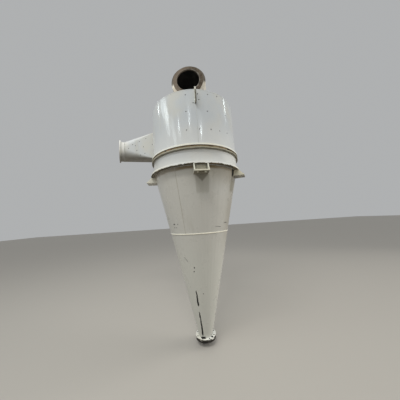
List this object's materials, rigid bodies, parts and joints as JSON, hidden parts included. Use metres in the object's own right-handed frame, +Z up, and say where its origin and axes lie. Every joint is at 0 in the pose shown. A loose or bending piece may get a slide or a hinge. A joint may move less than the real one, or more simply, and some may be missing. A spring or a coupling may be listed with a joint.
{
  "type": "cyclone separator",
  "caption": "Steel cyclone dust separator: round barrel with tangential inlet, flanged joint, support feet, long cone with flanged dust outlet, and outlet elbow.",
  "frame": {"origin": "middle of the front support foot's underside, between its two bolt holes", "axes": "+Z up along the vessel's axis, +X to the right and +Y away from someone facing the front foot; the inlet points to the left, turned 22.5 degrees from -X towards -Y"},
  "size_m": [1.9404, 1.4344, 3.826],
  "materials": {
    "paint": "glossy",
    "cone_paint": "satin",
    "inner_steel": "matt, worn",
    "bare_steel": "bare, brownish",
    "rusty_steel": "rusty, with old sealant"
  },
  "bodies": {
    "root": {"barrel_shell": "paint", "roof_plate": "paint", "vortex_finder": "inner_steel", "barrel_flange": "paint", "joint_packing": "rusty_steel", "band_flange": "paint", "band_shell": "paint", "support_ring": "paint", "cone_upper": "cone_paint", "cone_seam_ring": "cone_paint", "cone_lower": "cone_paint", "dust_flange": "paint", "counter_flange": "bare_steel", "outlet_pipe": "paint", "outlet_elbow": "paint", "outlet_mouth": "paint", "mouth_ring": "bare_steel", "inlet_duct": "paint", "inlet_transition": "paint", "inlet_collar": "paint", "inlet_flange": "paint", "front_foot_plate": "paint", "front_foot_gussets": "paint", "right_foot_plate": "paint", "right_foot_gussets": "paint", "back_foot_plate": "paint", "back_foot_gussets": "paint", "left_foot_plate": "paint", "left_foot_gussets": "paint", "front_lug": "paint", "right_lug": "paint", "left_lug": "paint"}
  },
  "joints": []
}
